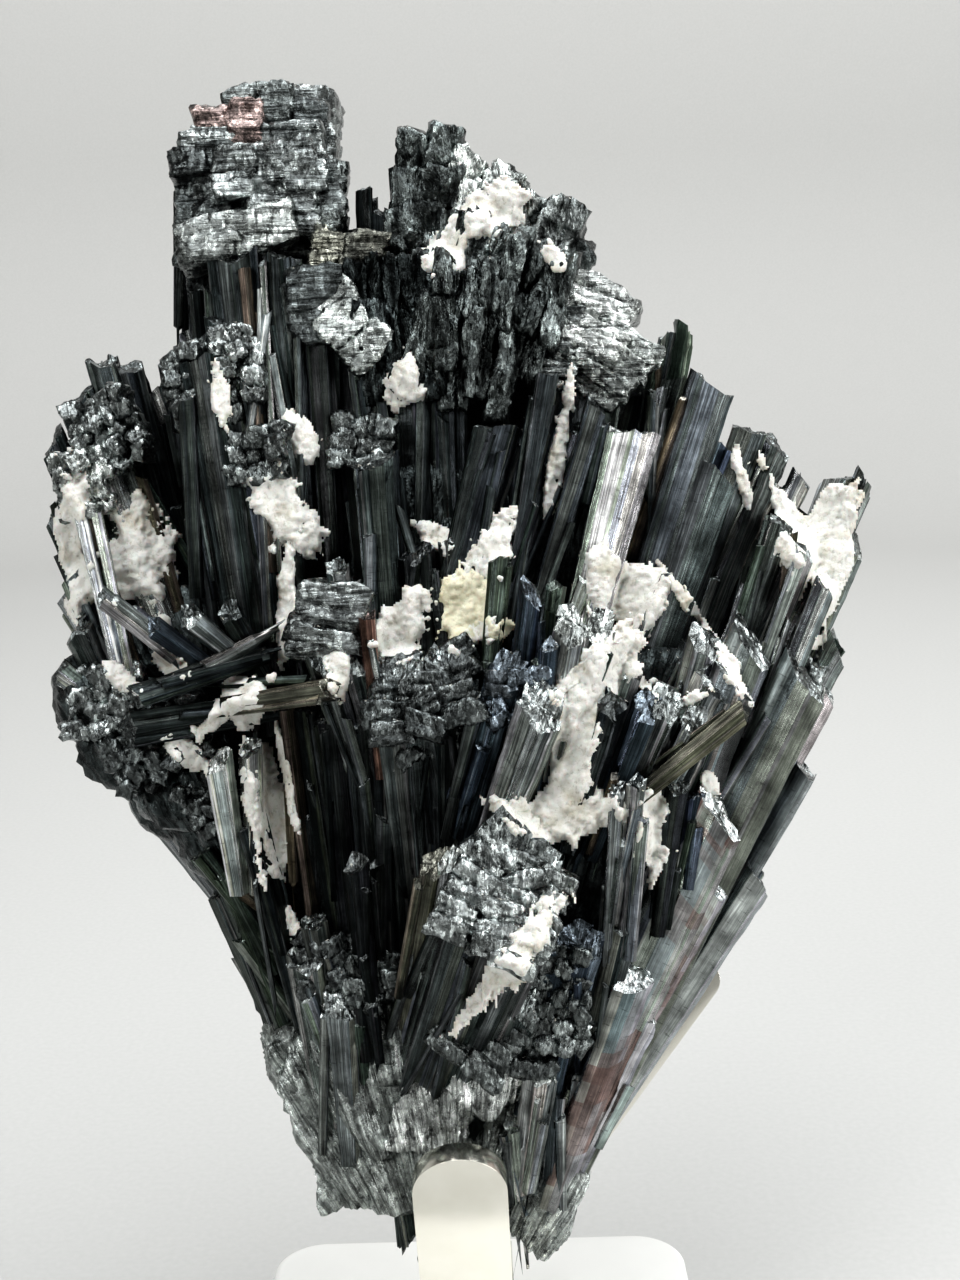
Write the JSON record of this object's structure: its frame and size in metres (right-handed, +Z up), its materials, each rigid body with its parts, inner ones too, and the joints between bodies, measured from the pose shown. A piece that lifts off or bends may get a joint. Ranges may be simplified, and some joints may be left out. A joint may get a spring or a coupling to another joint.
{
  "type": "stibnite crystal spray on an easel stand",
  "caption": "Fan of dark metallic striated crystals with white mineral patches, leaning on a polished steel easel with a white block base.",
  "frame": {"origin": "middle of the underside of the white base block", "axes": "+Z up, along the height of the specimen; +X to the right along the face of the fan; +Y towards its back, the way it leans"},
  "size_m": [0.1205, 0.0826, 0.2005],
  "materials": {
    "stibnite": "metallic striated prism faces with rough broken ends",
    "calcite": "matt sugary white",
    "polished_steel": "mirror polished",
    "white_block": "satin white"
  },
  "bodies": {
    "root": {"stibnite_spray": "stibnite", "calcite_band": "calcite", "calcite_cap": "calcite", "calcite_cream": "calcite", "calcite_fork": "calcite", "calcite_hollow": "calcite", "calcite_left_edge": "calcite", "calcite_left_low": "calcite", "calcite_left_of_cream": "calcite", "calcite_middle_left": "calcite", "calcite_right_high": "calcite", "calcite_right_low": "calcite", "calcite_right_wing": "calcite", "calcite_second_tower": "calcite", "calcite_streak": "calcite", "calcite_vein": "calcite", "calcite_white_tip": "calcite", "stand_easel": "polished_steel", "stand_base": "white_block"}
  },
  "joints": []
}
